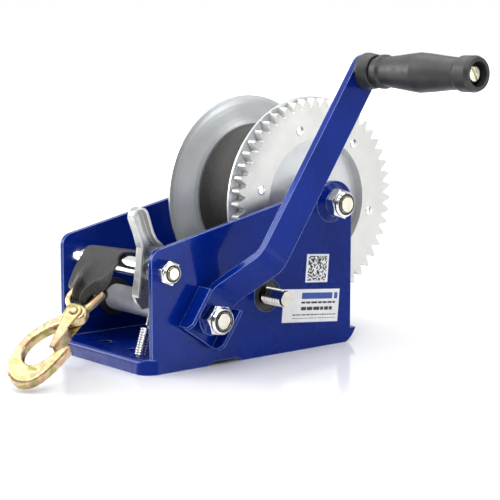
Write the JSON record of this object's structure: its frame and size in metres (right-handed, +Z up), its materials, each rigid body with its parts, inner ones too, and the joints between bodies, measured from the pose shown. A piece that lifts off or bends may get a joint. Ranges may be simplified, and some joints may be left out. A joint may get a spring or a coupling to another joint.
{
  "type": "boat trailer winch",
  "caption": "Hand-cranked two-speed winch: webbing drum in a pressed steel frame, gear train, two-way ratchet pawl, cranked handle and a snap hook on the strap.",
  "frame": {"origin": "middle of the face that bolts to the trailer, on the line midway between the side plates", "axes": "+X along the drum axle towards the crank, -Y towards the load (the strap's hook), +Z up"},
  "size_m": [0.3035, 0.383, 0.2444],
  "materials": {
    "blue_paint": "gloss powder coat",
    "zinc": "bright zinc plate",
    "gear_steel": "zinc plated, blanked teeth",
    "shaft_steel": "zinc plated",
    "nut_zinc": "bright zinc",
    "gold_zinc": "yellow passivated zinc",
    "black_plastic": "satin moulded",
    "bush_plastic": "moulded",
    "nylon": "natural nylon",
    "webbing": "woven polyester webbing",
    "label": "printed film"
  },
  "bodies": {
    "frame": {"frame": "blue_paint", "axle_bolt": "nut_zinc", "axle_nut": "nut_zinc", "axle_sleeve": "zinc", "shaft_bushes": "bush_plastic", "rod_bolt": "nut_zinc", "rod_spacer": "zinc", "rod_washers": "zinc", "rod_nut": "nut_zinc", "pawl_spring": "nut_zinc", "strap_tail": "webbing", "rating_label": "label", "code_label": "label"},
    "drum": {"drum_core": "zinc", "drum_bushes": "nylon", "far_flange": "zinc", "near_flange": "zinc", "drum_gear": "gear_steel", "gear_rivets": "zinc", "strap_pin": "nut_zinc", "strap_pin_nut": "nut_zinc", "strap_roll": "webbing"},
    "second_shaft": {"second_shaft": "shaft_steel", "first_gear": "gear_steel", "second_ring": "shaft_steel"},
    "crank": {"front_shaft": "shaft_steel", "shaft_spacer": "shaft_steel", "first_pinion": "gear_steel", "ratchet_wheel": "gear_steel", "front_ring": "shaft_steel", "hub_bracket": "zinc", "crank_arm": "blue_paint", "hub_nut": "nut_zinc", "grip_bolt": "nut_zinc", "grip_nut": "nut_zinc", "grip_collar": "black_plastic"},
    "grip": {"grip_sleeve": "black_plastic"},
    "pawl": {"pawl": "zinc"},
    "roller": {"rod_sleeve": "zinc"},
    "hook": {"hook_body": "gold_zinc", "hook_rivet": "gold_zinc", "latch_spring": "nut_zinc"},
    "latch": {"hook_latch": "gold_zinc"}
  },
  "joints": [
    {"name": "drum_spin", "type": "hinge", "parent": "frame", "child": "drum", "pos_m": [0, 0.081, 0.12], "axis": [1, 0, 0], "continuous": true},
    {"name": "second_shaft_spin", "type": "hinge", "parent": "frame", "child": "second_shaft", "pos_m": [0, 0.011, 0.05], "axis": [1, 0, 0], "continuous": true},
    {"name": "crank_spin", "type": "hinge", "parent": "frame", "child": "crank", "pos_m": [0, -0.05301, 0.03986], "axis": [1, 0, 0], "continuous": true},
    {"name": "grip_spin", "type": "hinge", "parent": "crank", "child": "grip", "pos_m": [0.11, 0.07604, 0.22904], "axis": [1, 0, 0], "continuous": true},
    {"name": "pawl_flip", "type": "hinge", "parent": "frame", "child": "pawl", "pos_m": [0.046, -0.091, 0.079], "axis": [1, 0, 0], "range_deg": [-16, 16], "deforming": ["pawl_spring"]},
    {"name": "roller_spin", "type": "hinge", "parent": "frame", "child": "roller", "pos_m": [0, -0.091, 0.079], "axis": [1, 0, 0], "continuous": true},
    {"name": "hook_swing", "type": "hinge", "parent": "frame", "child": "hook", "pos_m": [0.03362, -0.13841, 0.06609], "axis": [0.9077, 0.2432, -0.342], "range_deg": [-25, 40]},
    {"name": "latch_open", "type": "hinge", "parent": "hook", "child": "latch", "pos_m": [0.0389, -0.1563, 0.04985], "axis": [0.4196, -0.5391, 0.7303], "range_deg": [-28, 0], "stiffness_Nm_per_rad": 0.15, "springref_deg": 20.05}
  ],
  "couplings": [
    {"joint": "second_shaft_spin", "follows": "drum_spin", "ratio": -5},
    {"joint": "crank_spin", "follows": "drum_spin", "ratio": 10}
  ]
}
